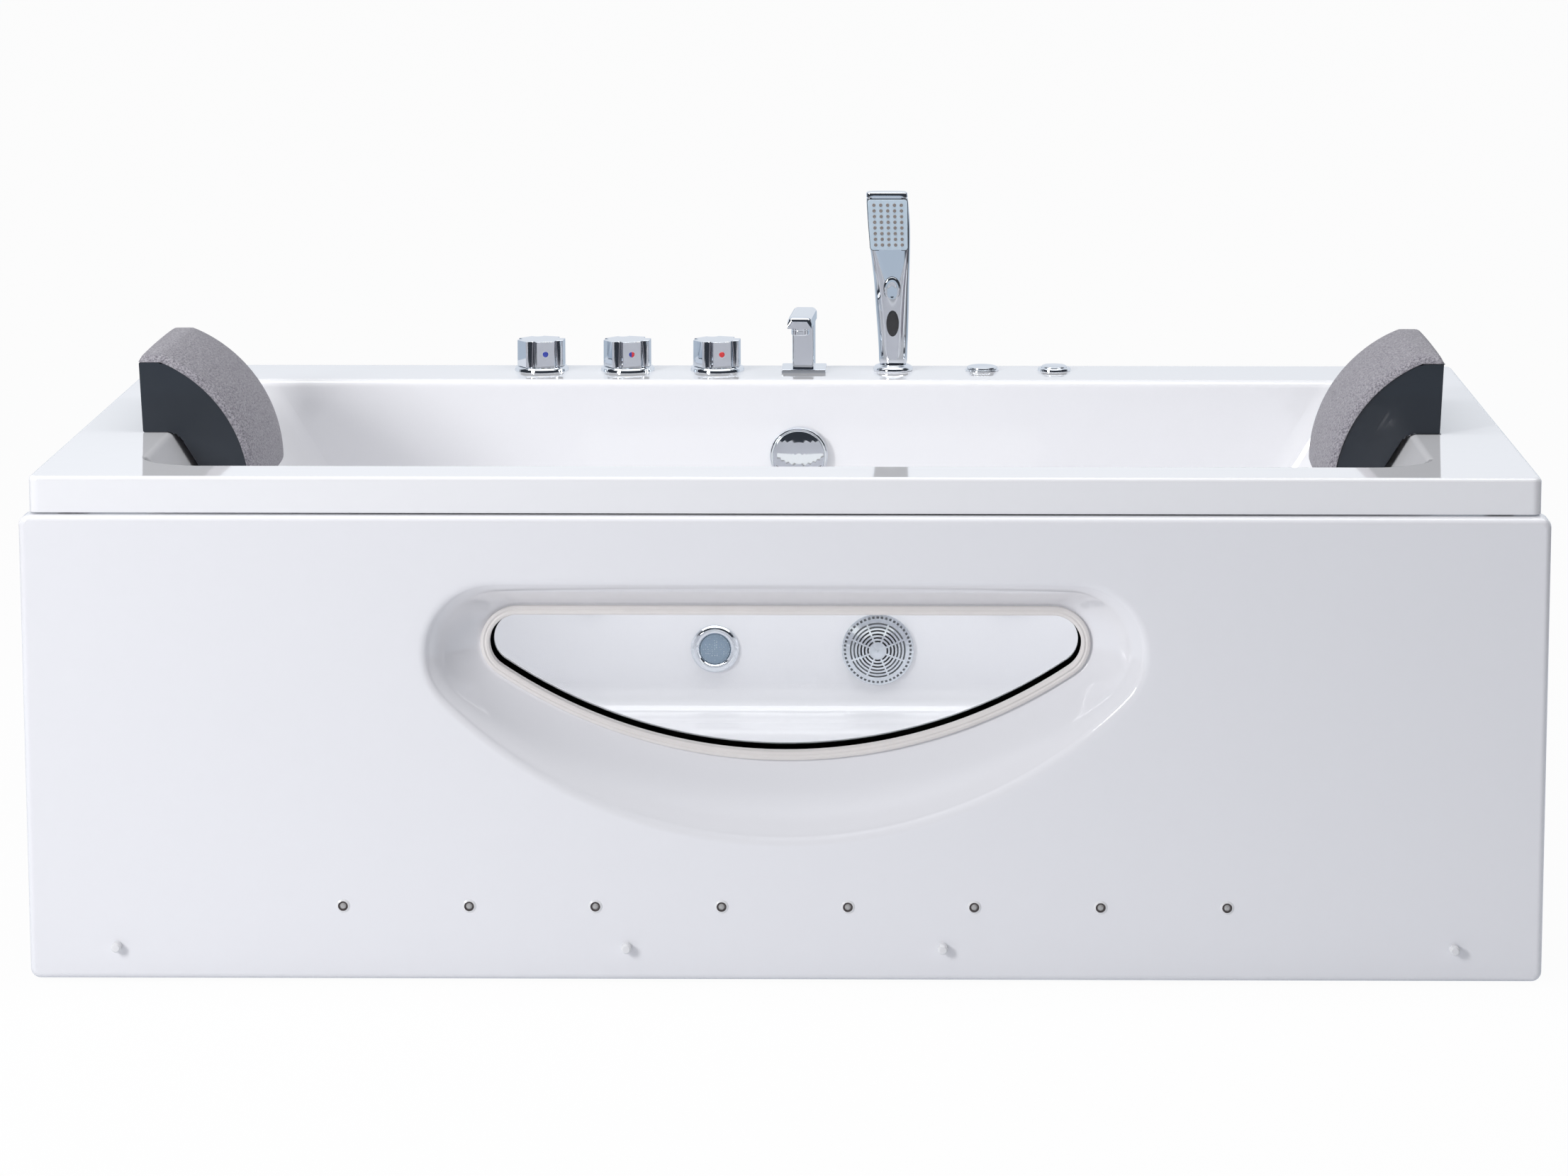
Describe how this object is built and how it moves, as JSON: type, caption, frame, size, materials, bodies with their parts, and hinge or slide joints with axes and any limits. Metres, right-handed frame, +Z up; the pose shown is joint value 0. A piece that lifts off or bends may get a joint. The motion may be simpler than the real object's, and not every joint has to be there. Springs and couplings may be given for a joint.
{
  "type": "jetted bathtub",
  "caption": "Rectangular jetted bathtub: flat rim, windowed front panel, wall jets, deck taps, spout, hand shower, head pillows, pump and steel frame on feet.",
  "frame": {"origin": "on the floor under the middle of the overall box", "axes": "+X along the bath to the right as seen from the front panel, +Y from the front panel to the wall side, +Z up"},
  "size_m": [1.8, 0.912, 0.855],
  "materials": {
    "shell_acrylic": "gloss",
    "panel_acrylic": "gloss",
    "cream_trim": "satin",
    "pane": "clear",
    "dark_seal": "satin",
    "white_plastic": "gloss",
    "grey_plastic": "matte",
    "black_plastic": "matte",
    "pipe_plastic": "matte",
    "clear_lens": "frosted",
    "steel": "satin",
    "chrome": "polished",
    "brass": "satin",
    "motor_paint": "satin",
    "cast_aluminium": "cast",
    "navy_plastic": "gloss",
    "pad_foam": "grained"
  },
  "bodies": {
    "bath": {"bath_shell": "shell_acrylic", "front_panel": "panel_acrylic", "window_trim": "cream_trim", "window_glass": "pane", "window_gasket": "dark_seal", "panel_plugs": "white_plastic", "spot_cups": "white_plastic", "spot_holders": "grey_plastic", "spot_lenses": "clear_lens", "steel_frame": "steel", "foot_studs": "steel", "foot_pads": "black_plastic", "lock_nuts": "steel", "tap_flanges": "chrome", "tap_valves": "brass", "mixer_pipes": "steel", "spout_base": "chrome", "spout_body": "chrome", "spout_aerator": "chrome", "shower_socket": "chrome", "air_control_base": "chrome", "button_bezel": "chrome", "overflow_body": "pipe_plastic", "overflow_pipe": "pipe_plastic", "waste_flange": "chrome", "waste_body": "pipe_plastic", "jet_flanges": "chrome", "jet_bodies": "pipe_plastic", "suction_cover": "chrome", "suction_body": "pipe_plastic", "light_ring": "chrome", "light_lens": "clear_lens", "pump_casing": "black_plastic", "motor_shell": "motor_paint", "pump_stand": "grey_plastic", "pump_unions": "pipe_plastic", "suction_pipe": "pipe_plastic", "pressure_pipe": "pipe_plastic", "air_pipe": "pipe_plastic", "control_box": "grey_plastic", "pillow_bases": "navy_plastic", "pillow_pads": "pad_foam"},
    "cold_tap": {"cold_handle": "chrome"},
    "diverter": {"diverter_handle": "chrome"},
    "hot_tap": {"hot_handle": "chrome"},
    "hand_shower": {"shower_handle": "chrome", "shower_face": "white_plastic", "shower_nozzles": "grey_plastic", "shower_inlay": "grey_plastic"},
    "air_control": {"air_control_knob": "chrome"},
    "push_button": {"button_cap": "chrome"},
    "overflow_dial": {"overflow_knob": "chrome"},
    "plug": {"waste_plug": "chrome"},
    "pump_rotor": {"pump_shaft": "steel", "pump_impeller": "grey_plastic", "pump_fan": "grey_plastic"},
    "jet_one": {"jet_nozzle_one": "chrome"},
    "jet_two": {"jet_nozzle_two": "chrome"},
    "jet_three": {"jet_nozzle_three": "chrome"},
    "jet_four": {"jet_nozzle_four": "chrome"}
  },
  "joints": [
    {"name": "cold_turn", "type": "hinge", "parent": "bath", "child": "cold_tap", "pos_m": [-0.352, 0.411, 0.635], "axis": [0, 0, 1], "range_deg": [0, 90]},
    {"name": "diverter_turn", "type": "hinge", "parent": "bath", "child": "diverter", "pos_m": [-0.235, 0.411, 0.635], "axis": [0, 0, 1], "range_deg": [0, 90]},
    {"name": "hot_turn", "type": "hinge", "parent": "bath", "child": "hot_tap", "pos_m": [-0.113, 0.411, 0.635], "axis": [0, 0, -1], "range_deg": [0, 90]},
    {"name": "shower_lift", "type": "slide", "parent": "bath", "child": "hand_shower", "axis": [0, 0, 1], "range_m": [0, 0.15]},
    {"name": "air_turn", "type": "hinge", "parent": "bath", "child": "air_control", "pos_m": [0.247, 0.411, 0.613], "axis": [0, 0, 1], "range_deg": [0, 180]},
    {"name": "button_press", "type": "slide", "parent": "bath", "child": "push_button", "axis": [0, 0, -1], "range_m": [0, 0.004], "stiffness_N_per_m": 400, "springref_m": -0.002},
    {"name": "overflow_turn", "type": "hinge", "parent": "bath", "child": "overflow_dial", "pos_m": [0, 0.319, 0.509], "axis": [0, 1, 0], "range_deg": [0, 90]},
    {"name": "plug_lift", "type": "slide", "parent": "bath", "child": "plug", "axis": [0, 0, 1], "range_m": [0, 0.01]},
    {"name": "pump_spin", "type": "hinge", "parent": "bath", "child": "pump_rotor", "pos_m": [0.73, 0.08, 0.243], "axis": [0, 1, 0], "continuous": true},
    {"name": "jet_one_turn", "type": "hinge", "parent": "bath", "child": "jet_one", "pos_m": [-0.49, 0.319, 0.332], "axis": [0, 1, 0], "range_deg": [0, 90]},
    {"name": "jet_two_turn", "type": "hinge", "parent": "bath", "child": "jet_two", "pos_m": [-0.285, 0.319, 0.332], "axis": [0, 1, 0], "range_deg": [0, 90]},
    {"name": "jet_three_turn", "type": "hinge", "parent": "bath", "child": "jet_three", "pos_m": [0.285, 0.319, 0.332], "axis": [0, 1, 0], "range_deg": [0, 90]},
    {"name": "jet_four_turn", "type": "hinge", "parent": "bath", "child": "jet_four", "pos_m": [0.49, 0.319, 0.332], "axis": [0, 1, 0], "range_deg": [0, 90]}
  ],
  "couplings": [
    {"joint": "plug_lift", "follows": "overflow_turn", "m_per_rad": 0.006366}
  ]
}
